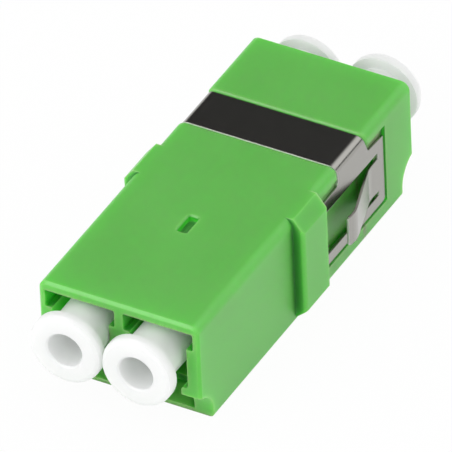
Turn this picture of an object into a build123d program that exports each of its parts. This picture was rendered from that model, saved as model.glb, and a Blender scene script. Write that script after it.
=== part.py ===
from build123d import *
import math
import os

# Flangeless duplex fibre coupler with a spring panel clip and four dust caps.
# Millimetres, +Z up, Y along the plug axes, near port face at -Y.
# The origin is on the rest face, under the middle of the body.

# Port standard
port_pitch = 6.25
plug_square = 4.6
plug_axis_height = 6.1
ferrule_sleeve_bore = 1.25

# Moulded body
body_length = 31.8
top_wall = 0.8
side_wall = 1.025
floor_thickness = 0.8
top_edge_radius = 0.7
bottom_edge_radius = 0.4
port_rim_bevel = 0.2
seam_y = 8.5

# Port mouth: wide shoulder slots above, latch slot below
shoulder_slot_lift = 0.1
shoulder_slot_height = 1.45
shoulder_slot_wall = 0.48
shoulder_slot_web = 0.68
shoulder_slot_radius = 0.15
shoulder_slot_depth = 6.0
latch_ledge_width = 0.55
latch_slot_floor = 0.3
latch_ledge_drop = 0.28
latch_ledge_radius = 0.25
latch_shoulder_depth = 4.2
plug_corner_radius = 0.2

# Concave relief under each port end, over the latches
relief_radius = 2.19
relief_centre_height = 0.7
relief_centre_gap = 0.43

# Panel stops on the narrow sides
stop_front_y = -1.95
stop_rear_y = 1.55
stop_thickness = 0.9
stop_slope_width = 0.85
stop_slope_height = 1.1
stop_bottom_rise = 0.75
stop_bottom_height = 0.4
stop_front_radius = 0.3
stop_rear_radius = 0.12

# Gate recess in the top face
gate_width = 0.8
gate_length = 1.9
gate_depth = 0.5
gate_corner_radius = 0.15
gate_rim_bevel = 0.12
gate_y = -5.6

# Folded stainless clip
sheet_thickness = 0.2
clip_inset = 0.1
clip_fold_radius = 0.65
clip_play = 0.04
brow_gap = 0.08
clip_recess_y = 1.65
plate_front_y = 4.78
plate_rear_y = 8.8
strap_front_y = 5.1
strap_rear_y = 9.5
strap_corner_radius = 0.4
panel_rear_y = 11.82
panel_foot = 1.35
panel_corner_radius = 0.55
shoulder_drop = 0.15
overhang_drop = 1.27
overhang_gap = 0.61
lip_corner_radius = 0.15
front_brow_radius = 0.26
rear_brow_radius = 0.2

# Window in each side panel and the pocket in the wall behind it
window_front_y = 2.9
window_foot = 2.35
window_head = 6.2
window_corner_radius = 0.2
pocket_depth = 0.25
pocket_margin = 0.3

# Spring finger in each window
finger_root_y = 10.9
finger_bend_y = 9.55
finger_knee_y = 5.0
finger_tip_y = 3.95
finger_rise_angle = 17.4
finger_return_angle = 4.0
finger_bend_radius = 2.4
finger_root_foot = 2.75
finger_root_head = 5.65
finger_tip_foot = 3.05
finger_tip_head = 5.5
finger_tip_radius = 0.25

# Ceramic split sleeves and the holders that trap them
sleeve_length = 6.8
sleeve_wall = 0.18
sleeve_slit = 0.18
sleeve_play = 0.04
sleeve_end_play = 0.1
holder_plate_thickness = 0.8
holder_barrel_diameter = 2.8
holder_reach = 4.6
holder_mouth_bore = 1.36
holder_mouth_chamfer = 0.2
holder_play = 0.05

# Dust caps
cap_home_stand = 2.15
cap_nose_gap = 1.05
cap_flange_diameter = 5.7
cap_flange_thickness = 0.9
cap_rim_round = 0.36
cap_rim_step = 0.1
cap_barrel_diameter = 4.05
cap_nose_chamfer = 0.25
cap_socket_play = 0.1
cap_socket_depth = 3.7
cap_web = 1.6
cap_grip_bore = 2.76
cap_grip_bevel = 0.12

# How each cap sits: side, end, stand off the port face, lean towards the middle, droop
cap_seats = {
    "front_left": (-1, -1, 2.87, 0.25, 0.03),
    "front_right": (1, -1, 2.87, 0.25, 0.1),
    "rear_left": (-1, 1, cap_home_stand, 0.2, 0.12),
    "rear_right": (1, 1, 2.6, 0.0, 0.1)}

# Places worked out from the sizes above
port_x = port_pitch / 2
plug_half = plug_square / 2
plug_top = plug_axis_height + plug_half
plug_bottom = plug_axis_height - plug_half
cavity_side = port_x + plug_half
body_width = 2 * (cavity_side + side_wall)
body_height = plug_top + top_wall
end_y = body_length / 2
side_x = body_width / 2
divider_half = port_x - plug_half
panel_front_y = clip_recess_y + clip_play
panel_outer_x = side_x - clip_inset
panel_inner_x = panel_outer_x - sheet_thickness
plate_top = body_height - clip_inset
plate_bottom = plate_top - sheet_thickness
overhang_height = body_height - overhang_drop
shoulder_height = overhang_height - overhang_gap
sleeve_diameter = ferrule_sleeve_bore + 2 * sleeve_wall
cap_length = end_y + cap_home_stand - holder_plate_thickness / 2 - cap_nose_gap
axis_places = [(-port_x, plug_axis_height), (port_x, plug_axis_height)]


def across(y):
    # Sketch plane across the body, with X to the right and Z up
    return Plane.XZ.offset(-y)


def strap_edge(top_y, side_y, height):
    # Where a slanting edge of the strap lies at a height between shoulder and plate
    share = (plate_top - height) / (plate_top - shoulder_height)
    return top_y + share * (side_y - top_y)


def body_bar(front_y, rear_y):
    # Plain length of the body, with softer edges on top
    with BuildPart() as bar:
        with BuildSketch(across(front_y)) as section:
            Rectangle(body_width, body_height, align=(Align.CENTER, Align.MIN))
            fillet(section.vertices().group_by(Axis.Y)[-1], top_edge_radius)
            fillet(section.vertices().group_by(Axis.Y)[0], bottom_edge_radius)
        extrude(amount=front_y - rear_y)
    return bar.part


def clip_core(front_y, rear_y):
    # Waist of the body that the clip is folded round
    with BuildPart() as core:
        with BuildSketch(across(front_y)) as section:
            with Locations((0, plate_bottom)):
                Rectangle(2 * panel_inner_x, body_height, align=(Align.CENTER, Align.MAX))
            fillet(section.vertices().group_by(Axis.Y)[-1], clip_fold_radius - sheet_thickness)
        extrude(amount=front_y - rear_y)
    return core.part


def port_mouths(face_y, inward, depth):
    # Both plug cavities, from a port face towards the middle of the body
    mouth = across(face_y)
    slot_inner = shoulder_slot_web / 2
    slot_outer = side_x - shoulder_slot_wall
    latch_half = plug_half - latch_ledge_width
    ledge_height = plug_bottom - latch_ledge_drop
    with BuildPart() as mouths:
        with BuildSketch(mouth):
            with Locations(axis_places):
                RectangleRounded(plug_square, plug_square, plug_corner_radius)
        extrude(amount=-inward * depth)
        with BuildSketch(mouth) as slots:
            for side in (-1, 1):
                with Locations((side * (slot_inner + slot_outer) / 2,
                                plug_top + shoulder_slot_lift)):
                    Rectangle(slot_outer - slot_inner, shoulder_slot_height,
                              align=(Align.CENTER, Align.MAX))
            fillet(slots.vertices(), shoulder_slot_radius)
        extrude(amount=-inward * shoulder_slot_depth)
        with BuildSketch(mouth) as latch_slots:
            for side in (-1, 1):
                with BuildLine():
                    Polyline(
                        (side * port_x - latch_half, latch_slot_floor),
                        (side * port_x + latch_half, latch_slot_floor),
                        (side * port_x + latch_half, ledge_height),
                        (side * port_x + plug_half, ledge_height),
                        (side * port_x + plug_half, plug_axis_height),
                        (side * port_x - plug_half, plug_axis_height),
                        (side * port_x - plug_half, ledge_height),
                        (side * port_x - latch_half, ledge_height),
                        close=True)
                make_face()
            fillet(latch_slots.vertices().group_by(Axis.Y)[1], latch_ledge_radius)
        extrude(amount=-inward * latch_shoulder_depth)
        with BuildSketch(across(face_y + inward * latch_shoulder_depth)):
            with Locations((-port_x, floor_thickness), (port_x, floor_thickness)):
                Rectangle(plug_square, plug_axis_height - floor_thickness,
                          align=(Align.CENTER, Align.MIN))
        extrude(amount=-inward * (depth - latch_shoulder_depth))
    return mouths.part


def latch_relief(face_y, outward):
    # Round cut that takes back the lower lip of a port end
    centre_y = face_y + outward * relief_centre_gap
    with BuildPart() as relief:
        with BuildSketch(Plane.YZ):
            with Locations((centre_y, relief_centre_height)):
                Circle(relief_radius)
                Rectangle(2 * relief_radius, body_height, align=(Align.CENTER, Align.MAX))
        extrude(amount=body_width, both=True)
    return relief.part


def finger_pocket(side):
    # Shallow pocket in a narrow side, behind the window and its finger
    pocket_front_y = window_front_y - pocket_margin
    pocket_foot = window_foot - pocket_margin
    with BuildPart() as pocket:
        with BuildSketch(Plane.YZ.offset(side * (panel_inner_x - pocket_depth))):
            with Locations((pocket_front_y, pocket_foot)):
                Rectangle(finger_root_y - pocket_margin - pocket_front_y,
                          window_head + pocket_margin - pocket_foot, align=Align.MIN)
        extrude(amount=side * body_width)
    return pocket.part


# Shapes shared by the two housings
front_bar = body_bar(-end_y, seam_y)
rear_bar = body_bar(seam_y, end_y)
front_mouths = port_mouths(-end_y, 1, end_y - holder_plate_thickness)
rear_mouths = port_mouths(end_y, -1, end_y - seam_y)
front_relief = latch_relief(-end_y, -1)
rear_relief = latch_relief(end_y, 1)
seat_core = clip_core(-end_y, end_y)

# Room that the clip takes out of the body: a band over the top, a recess in each side
with BuildPart() as clip_seat:
    with BuildSketch(Plane.YZ) as outline:
        with BuildLine():
            Polyline(
                (clip_recess_y, panel_foot - clip_play),
                (panel_rear_y + clip_play, panel_foot - clip_play),
                (panel_rear_y + clip_play, overhang_height),
                (strap_edge(plate_rear_y, strap_rear_y, overhang_height) + clip_play,
                 overhang_height),
                (strap_edge(plate_rear_y, strap_rear_y, body_height) + clip_play, body_height),
                (strap_edge(plate_front_y, strap_front_y, body_height) - brow_gap, body_height),
                (strap_edge(plate_front_y, strap_front_y, overhang_height) - brow_gap,
                 overhang_height),
                (clip_recess_y, overhang_height),
                close=True)
        make_face()
        fillet(outline.vertices().group_by(Axis.Y)[-2].sort_by(Axis.X)[1:3], lip_corner_radius)
    extrude(amount=body_width, both=True)
    add(seat_core, mode=Mode.SUBTRACT)
    add(finger_pocket(-1))
    add(finger_pocket(1))

# Front housing: front ports, panel stops and the box that takes the sleeve holders
with BuildPart() as front_housing:
    add(front_bar)
    chamfer(front_housing.faces().sort_by(Axis.Y)[0].edges(), port_rim_bevel)
    with BuildSketch(across(stop_front_y)):
        for side in (-1, 1):
            with BuildLine():
                Polyline(
                    (side * (side_x - top_edge_radius), stop_bottom_height),
                    (side * side_x, stop_bottom_height),
                    (side * (side_x + stop_thickness), stop_bottom_height + stop_bottom_rise),
                    (side * (side_x + stop_thickness), body_height - stop_slope_height),
                    (side * (side_x + stop_thickness - stop_slope_width), body_height),
                    (side * (side_x - top_edge_radius), body_height),
                    close=True)
            make_face()
    extrude(amount=stop_front_y - stop_rear_y)
    for stop_edges in (front_housing.edges().filter_by(Axis.Z).group_by(Axis.X)[0],
                       front_housing.edges().filter_by(Axis.Z).group_by(Axis.X)[-1]):
        fillet(stop_edges.sort_by(Axis.Y)[0], stop_front_radius)
        fillet(stop_edges.sort_by(Axis.Y)[-1], stop_rear_radius)
    add(front_relief, mode=Mode.SUBTRACT)
    add(front_mouths, mode=Mode.SUBTRACT)
    with BuildSketch(across(-holder_plate_thickness)):
        with Locations((0, floor_thickness)):
            Rectangle(2 * cavity_side, plug_top - floor_thickness,
                      align=(Align.CENTER, Align.MIN))
    extrude(amount=-holder_plate_thickness - seam_y, mode=Mode.SUBTRACT)
    with BuildSketch(Plane.XY.offset(body_height)):
        with Locations((0, gate_y)):
            RectangleRounded(gate_width, gate_length, gate_corner_radius)
    extrude(amount=-gate_depth, mode=Mode.SUBTRACT)
    gate_rim = front_housing.edges().group_by(Axis.Z)[-1].filter_by_position(
        Axis.Y, gate_y - gate_length / 2, gate_y + gate_length / 2)
    chamfer(gate_rim, gate_rim_bevel)
    add(clip_seat.part, mode=Mode.SUBTRACT)
    front_brow = front_housing.edges().filter_by(Axis.X).group_by(Axis.Z)[-1]
    fillet(front_brow.sort_by(Axis.Y)[-1], front_brow_radius)
front_housing.part.label = "front_housing"

# Rear housing: rear ports, and a tongue between them that clamps the sleeve holders
with BuildPart() as rear_housing:
    add(rear_bar)
    chamfer(rear_housing.faces().sort_by(Axis.Y)[-1].edges(), port_rim_bevel)
    add(rear_relief, mode=Mode.SUBTRACT)
    add(rear_mouths, mode=Mode.SUBTRACT)
    add(clip_seat.part, mode=Mode.SUBTRACT)
    rear_brow = rear_housing.edges().filter_by(Axis.X).group_by(Axis.Z)[-1]
    fillet(rear_brow.sort_by(Axis.Y)[0], rear_brow_radius)
    with BuildSketch(across(holder_plate_thickness + holder_play)):
        with Locations((0, floor_thickness + holder_play)):
            Rectangle(2 * divider_half, plug_top - floor_thickness - 2 * holder_play,
                      align=(Align.CENTER, Align.MIN))
    extrude(amount=holder_plate_thickness + holder_play - seam_y)
rear_housing.part.label = "rear_housing"


def sleeve_holder(toward):
    # Plate with two barrels, one half of the cage round the split sleeves
    tip = -1 if toward > 0 else 0
    with BuildPart() as holder:
        with BuildSketch(across(0)):
            with Locations((0, floor_thickness + holder_play)):
                Rectangle(2 * (cavity_side - holder_play),
                          plug_top - floor_thickness - 2 * holder_play,
                          align=(Align.CENTER, Align.MIN))
        extrude(amount=-toward * holder_plate_thickness)
        with BuildSketch(across(0)):
            with Locations(axis_places):
                Circle(holder_barrel_diameter / 2)
        extrude(amount=-toward * holder_reach)
        with BuildSketch(across(0)):
            with Locations(axis_places):
                Circle(sleeve_diameter / 2 + sleeve_play)
        extrude(amount=-toward * (sleeve_length / 2 + sleeve_end_play), mode=Mode.SUBTRACT)
        with BuildSketch(across(0)):
            with Locations(axis_places):
                Circle(holder_mouth_bore / 2)
        extrude(amount=-toward * holder_reach, mode=Mode.SUBTRACT)
        chamfer(holder.edges().filter_by(GeomType.CIRCLE).group_by(Axis.Y)[tip]
                .group_by(SortBy.RADIUS)[0], holder_mouth_chamfer)
    return holder


sleeve_holder_front = sleeve_holder(-1)
sleeve_holder_front.part.label = "sleeve_holder_front"
sleeve_holder_rear = sleeve_holder(1)
sleeve_holder_rear.part.label = "sleeve_holder_rear"


def split_sleeve(x):
    # Ceramic alignment sleeve with a slit along its whole length
    with BuildPart() as sleeve:
        with BuildSketch(across(-sleeve_length / 2)):
            with Locations((x, plug_axis_height)):
                Circle(sleeve_diameter / 2)
                Circle(ferrule_sleeve_bore / 2, mode=Mode.SUBTRACT)
                Rectangle(sleeve_slit, sleeve_diameter, align=(Align.CENTER, Align.MIN),
                          mode=Mode.SUBTRACT)
        extrude(amount=-sleeve_length)
    return sleeve


split_sleeve_left = split_sleeve(-port_x)
split_sleeve_left.part.label = "split_sleeve_left"
split_sleeve_right = split_sleeve(port_x)
split_sleeve_right.part.label = "split_sleeve_right"


def spring_finger():
    # Finger of the +X side: a bent strip trimmed to its tapered outline
    root_end_y = panel_rear_y - panel_corner_radius
    rise = (finger_bend_y - finger_knee_y) * math.tan(math.radians(finger_rise_angle))
    fall = (finger_knee_y - finger_tip_y) * math.tan(math.radians(finger_return_angle))
    with BuildPart() as finger:
        with BuildSketch(Plane.XY):
            with BuildLine():
                bend = FilletPolyline(
                    (panel_outer_x, root_end_y),
                    (panel_outer_x, finger_bend_y),
                    (panel_outer_x + rise, finger_knee_y),
                    (panel_outer_x + rise - fall, finger_tip_y),
                    radius=finger_bend_radius)
                offset(bend, amount=sheet_thickness, side=Side.RIGHT)
            make_face()
        extrude(amount=body_height)
        with BuildSketch(Plane.YZ) as outline:
            with BuildLine():
                Polyline(
                    (finger_tip_y, finger_tip_foot),
                    (finger_root_y, finger_root_foot),
                    (root_end_y, finger_root_foot),
                    (root_end_y, finger_root_head),
                    (finger_root_y, finger_root_head),
                    (finger_tip_y, finger_tip_head),
                    close=True)
            make_face()
            fillet(outline.vertices().group_by(Axis.X)[0], finger_tip_radius)
        extrude(amount=2 * body_width, mode=Mode.INTERSECT)
    return finger.part


right_finger = spring_finger()
left_finger = mirror(right_finger, about=Plane.YZ)

# Panel clip: one folded sheet, a top plate with a framed side panel and finger at each side
with BuildPart() as panel_clip:
    with BuildSketch(across(panel_front_y)) as fold:
        with Locations((0, plate_top)):
            Rectangle(2 * panel_outer_x, body_height, align=(Align.CENTER, Align.MAX))
        fillet(fold.vertices().group_by(Axis.Y)[-1], clip_fold_radius)
    extrude(amount=panel_front_y - panel_rear_y)
    add(seat_core, mode=Mode.SUBTRACT)
    with BuildSketch(Plane.YZ) as outline:
        with BuildLine():
            Polyline(
                (panel_front_y, panel_foot),
                (panel_rear_y, panel_foot),
                (panel_rear_y, shoulder_height - shoulder_drop),
                (strap_rear_y, shoulder_height),
                (plate_rear_y, plate_top),
                (plate_front_y, plate_top),
                (strap_front_y, shoulder_height),
                (panel_front_y, shoulder_height - shoulder_drop),
                close=True)
        make_face()
        fillet(outline.vertices().sort_by_distance((panel_rear_y, 0))[0], panel_corner_radius)
        fillet(outline.vertices().group_by(Axis.Y)[-2], strap_corner_radius)
        with BuildLine():
            Polyline(
                (window_front_y, window_foot),
                (finger_root_y, window_foot),
                (finger_root_y, window_head),
                (window_front_y, window_head),
                close=True)
        make_face(mode=Mode.SUBTRACT)
        window_corners = outline.vertices().filter_by_position(
            Axis.X, window_front_y, finger_root_y).filter_by_position(
            Axis.Y, window_foot, window_head)
        fillet(window_corners, window_corner_radius)
    extrude(amount=body_width, both=True, mode=Mode.INTERSECT)
    add(right_finger)
    add(left_finger)
panel_clip.part.label = "panel_clip"


def dust_cap(side, end, stand, lean, droop):
    # Soft cap on one port: a flanged grip outside, a socket over the sleeve barrel inside
    pivot_y = (holder_plate_thickness + holder_reach) / 2
    face = end_y + stand - pivot_y
    nose = face - cap_length
    rim_back = face - cap_flange_thickness
    rim_edge = cap_flange_diameter / 2
    outward = Vector(-side * lean, end * face, -droop).normalized()
    sideways = outward.cross(Vector(0, 0, 1)).normalized()
    lie = Plane(origin=(side * port_x, end * pivot_y, plug_axis_height),
                x_dir=sideways, z_dir=sideways.cross(outward))
    with BuildPart() as cap:
        with BuildSketch(lie) as outline:
            with BuildLine():
                Polyline(
                    (0, nose),
                    (cap_barrel_diameter / 2, nose),
                    (cap_barrel_diameter / 2, rim_back),
                    (rim_edge, rim_back),
                    (rim_edge, face - cap_rim_round),
                    (rim_edge - cap_rim_step, face - cap_rim_step),
                    (rim_edge - cap_rim_round, face),
                    (0, face),
                    close=True)
            make_face()
            with Locations((0, nose)):
                Rectangle(holder_barrel_diameter / 2 + cap_socket_play, cap_socket_depth,
                          align=Align.MIN, mode=Mode.SUBTRACT)
            with Locations((0, nose + cap_socket_depth + cap_web)):
                Rectangle(cap_grip_bore / 2, cap_length, align=Align.MIN, mode=Mode.SUBTRACT)
            chamfer(outline.vertices().sort_by_distance((cap_grip_bore / 2, face))[0],
                    cap_grip_bevel)
            chamfer(outline.vertices().sort_by_distance((cap_barrel_diameter / 2, nose))[0],
                    cap_nose_chamfer)
        revolve(axis=Axis(lie.origin, lie.y_dir))
    return cap


caps = {}
for seat_name, seat in cap_seats.items():
    cap = dust_cap(*seat)
    cap.part.label = f"dust_cap_{seat_name}"
    caps[cap.part.label] = cap

os.makedirs("parts", exist_ok=True)
export_step(front_housing.part, "parts/front_housing.step")
export_step(rear_housing.part, "parts/rear_housing.step")
export_step(sleeve_holder_front.part, "parts/sleeve_holder_front.step")
export_step(sleeve_holder_rear.part, "parts/sleeve_holder_rear.step")
export_step(split_sleeve_left.part, "parts/split_sleeve_left.step")
export_step(split_sleeve_right.part, "parts/split_sleeve_right.step")
export_step(panel_clip.part, "parts/panel_clip.step")
for name, cap in caps.items():
    export_step(cap.part, f"parts/{name}.step")
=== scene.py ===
import bpy
import math
from mathutils import Matrix, Vector

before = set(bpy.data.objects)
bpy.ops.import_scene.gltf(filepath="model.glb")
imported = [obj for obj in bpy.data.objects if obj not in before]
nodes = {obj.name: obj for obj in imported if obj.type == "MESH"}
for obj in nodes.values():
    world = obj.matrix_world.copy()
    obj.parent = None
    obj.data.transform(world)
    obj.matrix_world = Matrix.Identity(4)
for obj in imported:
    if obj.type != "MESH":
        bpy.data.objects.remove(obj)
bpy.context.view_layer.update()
mm = 0.001
print("frame loaded:", len(nodes), "solids")


def linear(hexColour):
    # sRGB hex to the linear values that the shaders take
    parts = [int(hexColour[i:i + 2], 16) / 255 for i in (1, 3, 5)]
    return tuple(c / 12.92 if c <= 0.04045 else ((c + 0.055) / 1.055) ** 2.4 for c in parts) + (1.0,)


def addNode(tree, kind, settings=None, links=None):
    # one node with its settings (attributes or socket values) and the sockets that feed it
    node = tree.nodes.new(kind)
    for key, value in (settings or {}).items():
        if isinstance(key, int) or key in node.inputs:
            node.inputs[key].default_value = value
        else:
            setattr(node, key, value)
    for key, source in (links or {}).items():
        tree.links.new(source, node.inputs[key])
    return node


def newMaterial(name):
    material = bpy.data.materials.new(name)
    material.use_nodes = True
    tree = material.node_tree
    tree.nodes.clear()
    return material, tree


def objectPoint(tree):
    # object coordinates: every solid sits at the origin, so these are metres in the coupler's frame
    return addNode(tree, "ShaderNodeTexCoord").outputs["Object"]


# PBT, injection moulded and spark eroded: satin, with a faint flow mottle and a fine even grain.
# Light goes through its thin walls in the subsurface scatter; on top of that, corners carry painted shade
# in deep green, slots and places under other pieces a painted bright glow, and thin rims a painted pale
# highlight.
greenPbt = {
    "colour": "#65BD51",
    "paleColour": "#6FC55B",        # the other end of the flow mottle
    "paintedCornerShade": "#26822A",      # painted shade in a corner between two green walls
    "paintedSlotGlow": "#5AD846",        # painted glow deep in a slot and in places under another piece
    "paintedRimHighlight": "#AEE08E",        # painted highlight on a thin rim
    "paintedRimShare": 0.24,              # how far a rim goes to that painted highlight
    # how open a place is, from 0 for closed in to 1 for free, where one colour turns to the next
    "slotToCorner": (0.32, 0.48),
    "cornerToFace": (0.6, 0.84),
    "coveredToFace": (0.2, 0.48),   # counted with the other pieces
    "rimToWall": (0.5, 0.95),       # counted inside the wall
    "cornerReach": 1.6,             # mm
    "edgeReach": 0.42,              # mm, less than the thinnest outer wall
    "cornerRays": 12,
    "otherRays": 8,
    "roughness": (0.37, 0.47),
    "flowSize": 5.0,                # mm
    "grainSize": 0.12,              # mm, the real grain is about 0.03 and too fine to show
    "grainHeight": 0.002,           # mm
    "grainStrength": 0.35,
    "edgeRadius": 0.12,             # mm, moulded edges are never sharp
    "bevelRays": 6,
    "ior": 1.55,
    "scatter": 1.0,
    "scatterReach": 2.6,            # mm, for green light
    "scatterTint": (0.3, 1.0, 0.2),
}


def mouldedPbt():
    material, tree = newMaterial("pbtMoulded")
    point = objectPoint(tree)
    flow = addNode(tree, "ShaderNodeTexNoise",
                   {"Scale": 1 / (greenPbt["flowSize"] * mm), "Detail": 3.0}, {"Vector": point})
    tone = addNode(tree, "ShaderNodeMix",
                   {"data_type": "RGBA", 6: linear(greenPbt["colour"]),
                    7: linear(greenPbt["paleColour"])},
                   {"Factor": flow.outputs["Fac"]})
    # painted glow deep in slots and painted shade in corners, as the walls of the same piece close them in
    nook = addNode(tree, "ShaderNodeAmbientOcclusion",
                   {"only_local": True, "samples": greenPbt["cornerRays"],
                    "Distance": greenPbt["cornerReach"] * mm})
    slot = addNode(tree, "ShaderNodeMapRange",
                   {"From Min": greenPbt["slotToCorner"][0], "From Max": greenPbt["slotToCorner"][1]},
                   {"Value": nook.outputs["AO"]})
    paintedNookGlowAndShade = addNode(tree, "ShaderNodeMix",
                    {"data_type": "RGBA", 6: linear(greenPbt["paintedSlotGlow"]),
                     7: linear(greenPbt["paintedCornerShade"])},
                    {"Factor": slot.outputs["Result"]})
    facing = addNode(tree, "ShaderNodeMapRange",
                     {"From Min": greenPbt["cornerToFace"][0], "From Max": greenPbt["cornerToFace"][1]},
                     {"Value": nook.outputs["AO"]})
    shade = addNode(tree, "ShaderNodeMix", {"data_type": "RGBA"},
                    {"Factor": facing.outputs["Result"], 6: paintedNookGlowAndShade.outputs[2], 7: tone.outputs[2]})
    # painted glow in places under another piece, such as the clip's frame
    cover = addNode(tree, "ShaderNodeAmbientOcclusion",
                    {"samples": greenPbt["otherRays"], "Distance": greenPbt["cornerReach"] * mm})
    under = addNode(tree, "ShaderNodeMapRange",
                    {"From Min": greenPbt["coveredToFace"][1], "From Max": greenPbt["coveredToFace"][0]},
                    {"Value": cover.outputs["AO"]})
    withPaintedGlowUnder = addNode(tree, "ShaderNodeMix", {"data_type": "RGBA", 7: linear(greenPbt["paintedSlotGlow"])},
                    {"Factor": under.outputs["Result"], 6: shade.outputs[2]})
    # painted highlight on thin rims, on open faces only
    rim = addNode(tree, "ShaderNodeAmbientOcclusion",
                  {"only_local": True, "inside": True, "samples": greenPbt["otherRays"],
                   "Distance": greenPbt["edgeReach"] * mm})
    thin = addNode(tree, "ShaderNodeMapRange",
                   {"From Min": greenPbt["rimToWall"][1], "From Max": greenPbt["rimToWall"][0],
                    "To Max": greenPbt["paintedRimShare"]},
                   {"Value": rim.outputs["AO"]})
    lit = addNode(tree, "ShaderNodeMath", {"operation": "MULTIPLY"},
                  {0: thin.outputs["Result"], 1: facing.outputs["Result"]})
    withPaintedRimHighlight = addNode(tree, "ShaderNodeMix", {"data_type": "RGBA", 7: linear(greenPbt["paintedRimHighlight"])},
                     {"Factor": lit.outputs[0], 6: withPaintedGlowUnder.outputs[2]})
    # gloss, grain and rounded edges
    gloss = addNode(tree, "ShaderNodeMapRange",
                    {"To Min": greenPbt["roughness"][0], "To Max": greenPbt["roughness"][1]},
                    {"Value": flow.outputs["Fac"]})
    grain = addNode(tree, "ShaderNodeTexNoise",
                    {"Scale": 1 / (greenPbt["grainSize"] * mm), "Detail": 2.0}, {"Vector": point})
    edge = addNode(tree, "ShaderNodeBevel",
                   {"samples": greenPbt["bevelRays"], "Radius": greenPbt["edgeRadius"] * mm})
    bump = addNode(tree, "ShaderNodeBump",
                   {"Strength": greenPbt["grainStrength"], "Distance": greenPbt["grainHeight"] * mm},
                   {"Height": grain.outputs["Fac"], "Normal": edge.outputs["Normal"]})
    shader = addNode(tree, "ShaderNodeBsdfPrincipled",
                     {"IOR": greenPbt["ior"], "Subsurface Weight": greenPbt["scatter"],
                      "Subsurface Scale": greenPbt["scatterReach"] * mm,
                      "Subsurface Radius": greenPbt["scatterTint"]},
                     {"Base Color": withPaintedRimHighlight.outputs[2], "Roughness": gloss.outputs["Result"],
                      "Normal": bump.outputs["Normal"]})
    addNode(tree, "ShaderNodeOutputMaterial", {}, {"Surface": shader.outputs["BSDF"]})
    return material


# 301 stainless strip, cold rolled and then folded: fine roll lines across the top, soft streaky gloss
clipSteel = {
    "colour": "#A5A49F",
    "darkColour": "#9B9994",        # between two roll lines
    "roughness": (0.19, 0.27),
    "paintedCutHighlight": "#E6E6E2",         # bare sheared edges, duller than the rolled faces and painted brighter as a highlight
    "cutRoughness": 0.6,
    "cutFacing": (0.6, 0.8),        # how squarely a face looks along y where it starts and is all cut edge
    "lineSpacing": 0.08,            # mm between roll lines, drawn coarser than the real 0.02
    "lineLength": 1.5,              # mm
    "lineHeight": 0.0006,           # mm
    "lineStrength": 0.4,
    "edgeRadius": 0.1,              # mm, the sheared edges are a little rounded
    "bevelRays": 6,
}


def rolledStainless():
    material, tree = newMaterial("stainlessRolled")
    point = objectPoint(tree)
    along = 1 / (clipSteel["lineLength"] * mm)
    over = 1 / (clipSteel["lineSpacing"] * mm)
    stretch = addNode(tree, "ShaderNodeVectorMath", {"operation": "MULTIPLY", 1: (along, over, along)},
                      {0: point})
    lines = addNode(tree, "ShaderNodeTexNoise", {"Scale": 1.0, "Detail": 4.0},
                    {"Vector": stretch.outputs["Vector"]})
    tone = addNode(tree, "ShaderNodeMix",
                   {"data_type": "RGBA", 6: linear(clipSteel["darkColour"]),
                    7: linear(clipSteel["colour"])},
                   {"Factor": lines.outputs["Fac"]})
    gloss = addNode(tree, "ShaderNodeMapRange",
                    {"To Min": clipSteel["roughness"][0], "To Max": clipSteel["roughness"][1]},
                    {"Value": lines.outputs["Fac"]})
    # the front and rear edges of the sheet are sheared: there the face looks along y, and gets a duller
    # gloss and a painted highlight colour
    face = addNode(tree, "ShaderNodeNewGeometry")
    axes = addNode(tree, "ShaderNodeSeparateXYZ", {}, {0: face.outputs["True Normal"]})
    length = addNode(tree, "ShaderNodeMath", {"operation": "ABSOLUTE"}, {0: axes.outputs[1]})
    cut = addNode(tree, "ShaderNodeMapRange",
                  {"From Min": clipSteel["cutFacing"][0], "From Max": clipSteel["cutFacing"][1]},
                  {"Value": length.outputs[0]})
    toneWithPaintedCutHighlight = addNode(tree, "ShaderNodeMix", {"data_type": "RGBA", 7: linear(clipSteel["paintedCutHighlight"])},
                      {"Factor": cut.outputs["Result"], 6: tone.outputs[2]})
    cutGloss = addNode(tree, "ShaderNodeMix", {"data_type": "FLOAT", 3: clipSteel["cutRoughness"]},
                       {"Factor": cut.outputs["Result"], 2: gloss.outputs["Result"]})
    edge = addNode(tree, "ShaderNodeBevel",
                   {"samples": clipSteel["bevelRays"], "Radius": clipSteel["edgeRadius"] * mm})
    bump = addNode(tree, "ShaderNodeBump",
                   {"Strength": clipSteel["lineStrength"], "Distance": clipSteel["lineHeight"] * mm},
                   {"Height": lines.outputs["Fac"], "Normal": edge.outputs["Normal"]})
    shader = addNode(tree, "ShaderNodeBsdfPrincipled", {"Metallic": 1.0},
                     {"Base Color": toneWithPaintedCutHighlight.outputs[2], "Roughness": cutGloss.outputs[0],
                      "Normal": bump.outputs["Normal"]})
    addNode(tree, "ShaderNodeOutputMaterial", {}, {"Surface": shader.outputs["BSDF"]})
    return material


# LDPE, injection moulded: milky, waxy white that light soaks into
capLdpe = {
    "colour": "#FEFEFE",
    "coolColour": "#FAFCFC",        # the other end of the mottle
    "roughness": (0.29, 0.42),
    "mottleSize": 1.2,              # mm
    "mottleHeight": 0.01,           # mm
    "mottleStrength": 0.3,
    "ior": 1.51,
    "scatter": 0.8,
    "scatterReach": 1.6,            # mm
    "scatterTint": (1.0, 1.0, 1.0),
}


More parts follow.
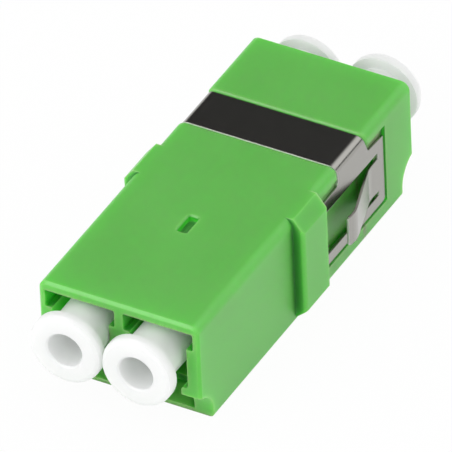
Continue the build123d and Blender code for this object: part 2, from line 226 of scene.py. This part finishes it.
def milkyLdpe():
    material, tree = newMaterial("ldpeMoulded")
    point = objectPoint(tree)
    mottle = addNode(tree, "ShaderNodeTexNoise",
                     {"Scale": 1 / (capLdpe["mottleSize"] * mm), "Detail": 2.0}, {"Vector": point})
    tone = addNode(tree, "ShaderNodeMix",
                   {"data_type": "RGBA", 6: linear(capLdpe["colour"]), 7: linear(capLdpe["coolColour"])},
                   {"Factor": mottle.outputs["Fac"]})
    gloss = addNode(tree, "ShaderNodeMapRange",
                    {"To Min": capLdpe["roughness"][0], "To Max": capLdpe["roughness"][1]},
                    {"Value": mottle.outputs["Fac"]})
    bump = addNode(tree, "ShaderNodeBump",
                   {"Strength": capLdpe["mottleStrength"], "Distance": capLdpe["mottleHeight"] * mm},
                   {"Height": mottle.outputs["Fac"]})
    shader = addNode(tree, "ShaderNodeBsdfPrincipled",
                     {"IOR": capLdpe["ior"], "Subsurface Weight": capLdpe["scatter"],
                      "Subsurface Scale": capLdpe["scatterReach"] * mm,
                      "Subsurface Radius": capLdpe["scatterTint"]},
                     {"Base Color": tone.outputs[2], "Roughness": gloss.outputs["Result"],
                      "Normal": bump.outputs["Normal"]})
    addNode(tree, "ShaderNodeOutputMaterial", {}, {"Surface": shader.outputs["BSDF"]})
    return material


# zirconia, sintered and ground: hard ivory white with a sharp gloss and faint grinding lines round
# the sleeve
sleeveZirconia = {
    "colour": "#F2EFE6",
    "shadeColour": "#E6E2D6",       # in the grinding lines
    "roughness": (0.1, 0.2),
    "grindSpacing": 0.08,           # mm, drawn coarser than the real grinding marks
    "grindLength": 5.0,             # mm
    "ior": 2.15,
}


def groundZirconia():
    material, tree = newMaterial("zirconiaGround")
    point = objectPoint(tree)
    around = 1 / (sleeveZirconia["grindLength"] * mm)
    over = 1 / (sleeveZirconia["grindSpacing"] * mm)
    stretch = addNode(tree, "ShaderNodeVectorMath",
                      {"operation": "MULTIPLY", 1: (around, over, around)}, {0: point})
    marks = addNode(tree, "ShaderNodeTexNoise", {"Scale": 1.0, "Detail": 2.0},
                    {"Vector": stretch.outputs["Vector"]})
    tone = addNode(tree, "ShaderNodeMix",
                   {"data_type": "RGBA", 6: linear(sleeveZirconia["colour"]),
                    7: linear(sleeveZirconia["shadeColour"])},
                   {"Factor": marks.outputs["Fac"]})
    gloss = addNode(tree, "ShaderNodeMapRange",
                    {"To Min": sleeveZirconia["roughness"][0], "To Max": sleeveZirconia["roughness"][1]},
                    {"Value": marks.outputs["Fac"]})
    shader = addNode(tree, "ShaderNodeBsdfPrincipled", {"IOR": sleeveZirconia["ior"]},
                     {"Base Color": tone.outputs[2], "Roughness": gloss.outputs["Result"]})
    addNode(tree, "ShaderNodeOutputMaterial", {}, {"Surface": shader.outputs["BSDF"]})
    return material


def dress(names, material):
    for name in names:
        for slot in nodes[name].material_slots:
            slot.material = material


dress(("front_housing", "rear_housing", "sleeve_holder_front", "sleeve_holder_rear"), mouldedPbt())
dress(("panel_clip",), rolledStainless())
dress(("split_sleeve_left", "split_sleeve_right"), groundZirconia())
dress([name for name in nodes if name.startswith("dust_cap")], milkyLdpe())
print("materials given")

# Camera at the photograph's angle, fitted to the body's corners
photoCamera = {
    "azimuth": 30.285,      # degrees
    "elevation": 38.086,
    "roll": -2.644,
    "distance": 1.08305,    # m
    "focalPixels": 15169.5,
    "imageWidth": 452,
    "aim": (0.0, 0.06 * mm, 4.6 * mm),
    "aimPixel": (228.358, 230.362),
    "sensor": 36.0,
    "clip": (0.05, 10.0),   # m, nearest and farthest
}


def placeCamera():
    azimuth, elevation, roll = (math.radians(photoCamera[key]) for key in ("azimuth", "elevation", "roll"))
    back = Vector((math.sin(azimuth) * math.cos(elevation), -math.cos(azimuth) * math.cos(elevation),
                   math.sin(elevation)))
    level = Vector((math.cos(azimuth), math.sin(azimuth), 0.0))
    upright = back.cross(level)
    right = level * math.cos(roll) + upright * math.sin(roll)
    up = upright * math.cos(roll) - level * math.sin(roll)
    # the aim stands off the middle of the picture, so the eye shifts the other way
    centre = photoCamera["imageWidth"] / 2
    scale = photoCamera["distance"] / photoCamera["focalPixels"]
    column, row = photoCamera["aimPixel"]
    eye = (Vector(photoCamera["aim"]) + back * photoCamera["distance"] - right * (column - centre) * scale
           + up * (row - centre) * scale)
    data = bpy.data.cameras.new("photoCamera")
    data.sensor_width = photoCamera["sensor"]
    data.lens = photoCamera["focalPixels"] / photoCamera["imageWidth"] * photoCamera["sensor"]
    data.clip_start, data.clip_end = photoCamera["clip"]
    camera = bpy.data.objects.new("photoCamera", data)
    bpy.context.scene.collection.objects.link(camera)
    camera.matrix_world = Matrix((
        (right.x, up.x, back.x, eye.x),
        (right.y, up.y, back.y, eye.y),
        (right.z, up.z, back.z, eye.z),
        (0, 0, 0, 1)))
    bpy.context.scene.camera = camera


placeCamera()

# Studio: white floor in a plain bright room, a soft box in front and a weaker one behind, and cards
# for the steel to mirror
studio = {
    "floorSize": 4.0,       # m
    "floorColour": "#FFFFFF",
    "floorGlow": 0.96,      # how much of the floor is plain white to the camera, the rest takes shadow
    "floorDrop": 0.02,      # mm under the part
    "roomLight": 0.8,
    "boxes": (              # place, size in m, power in W
        ((-0.17, -0.43, 0.27), 0.34, 0.8),
        ((0.36, 0.40, 0.28), 0.46, 0.24),
    ),
    "cards": (              # place, width and height in m, glow, side that fades to white in m
        ((-0.20, 0.36, 0.29), 0.58, 0.46, 0.04, 0.16),      # dark, high behind
        ((0.43, 0.41, 0.075), 0.60, 0.13, 0.05, 0.0),       # dark, low behind
        ((-0.24, -0.36, 0.40), 0.26, 0.26, 4.0, 0.0),       # bright, above the front
        ((-0.24, -0.06, 0.50), 0.34, 0.24, 3.0, 0.0),       # bright, high on the left
    ),
}


def seenAsBackground(tree):
    # 1 for rays from the camera and for those mirrored by or passed through a piece, else 0
    rays = addNode(tree, "ShaderNodeLightPath")
    mirrored = addNode(tree, "ShaderNodeMath", {"operation": "MAXIMUM"},
                       {0: rays.outputs["Is Glossy Ray"], 1: rays.outputs["Is Transmission Ray"]})
    seen = addNode(tree, "ShaderNodeMath", {"operation": "MAXIMUM"},
                   {0: rays.outputs["Is Camera Ray"], 1: mirrored.outputs[0]})
    return seen.outputs[0]


def addSheet(name, width, height, material):
    # a flat rectangle round its own origin, face up
    mesh = bpy.data.meshes.new(name)
    mesh.from_pydata([(-width / 2, -height / 2, 0), (width / 2, -height / 2, 0),
                      (width / 2, height / 2, 0), (-width / 2, height / 2, 0)], [], [(0, 1, 2, 3)])
    mesh.materials.append(material)
    sheet = bpy.data.objects.new(name, mesh)
    bpy.context.scene.collection.objects.link(sheet)
    return sheet


def faceThePart(item, place):
    item.location = place
    item.rotation_euler = (-Vector(place)).to_track_quat("-Z", "Y").to_euler()


def layFloor():
    material, tree = newMaterial("paperFloor")
    paper = addNode(tree, "ShaderNodeBsdfDiffuse", {"Color": linear(studio["floorColour"])})
    glow = addNode(tree, "ShaderNodeEmission", {"Color": (1, 1, 1, 1), "Strength": 1.0})
    share = addNode(tree, "ShaderNodeMath", {"operation": "MULTIPLY", 1: studio["floorGlow"]},
                    {0: seenAsBackground(tree)})
    mix = addNode(tree, "ShaderNodeMixShader", {},
                  {0: share.outputs[0], 1: paper.outputs[0], 2: glow.outputs[0]})
    addNode(tree, "ShaderNodeOutputMaterial", {}, {"Surface": mix.outputs[0]})
    floor = addSheet("studioFloor", studio["floorSize"], studio["floorSize"], material)
    floor.location.z = -studio["floorDrop"] * mm


def lightStudio():
    world = bpy.data.worlds.new("studioWorld")
    bpy.context.scene.world = world
    world.use_nodes = True
    tree = world.node_tree
    tree.nodes.clear()
    room = addNode(tree, "ShaderNodeBackground", {"Color": (1, 1, 1, 1), "Strength": studio["roomLight"]})
    white = addNode(tree, "ShaderNodeBackground", {"Color": (1, 1, 1, 1), "Strength": 1.0})
    mix = addNode(tree, "ShaderNodeMixShader", {},
                  {0: seenAsBackground(tree), 1: room.outputs[0], 2: white.outputs[0]})
    addNode(tree, "ShaderNodeOutputWorld", {}, {"Surface": mix.outputs[0]})
    for place, size, power in studio["boxes"]:
        data = bpy.data.lights.new("softBox", "AREA")
        data.size = size
        data.energy = power
        box = bpy.data.objects.new("softBox", data)
        bpy.context.scene.collection.objects.link(box)
        faceThePart(box, place)


def setCards():
    # only reflections see these
    for place, width, height, glow, soft in studio["cards"]:
        material, tree = newMaterial("reflectorCard")
        face = addNode(tree, "ShaderNodeEmission", {"Color": (1, 1, 1, 1), "Strength": glow})
        if soft:
            point = addNode(tree, "ShaderNodeTexCoord")
            axes = addNode(tree, "ShaderNodeSeparateXYZ", {}, {0: point.outputs["Object"]})
            fade = addNode(tree, "ShaderNodeMapRange",
                           {"From Min": soft - width / 2, "From Max": -width / 2, "To Min": glow},
                           {"Value": axes.outputs[0]})
            tree.links.new(fade.outputs["Result"], face.inputs["Strength"])
        addNode(tree, "ShaderNodeOutputMaterial", {}, {"Surface": face.outputs[0]})
        card = addSheet("reflectorCard", width, height, material)
        faceThePart(card, place)
        card.visible_camera = False
        card.visible_diffuse = False
        card.visible_shadow = False
        card.visible_transmission = False


layFloor()
lightStudio()
setCards()
bpy.context.scene.view_settings.view_transform = "Standard"
print("camera and studio ready")
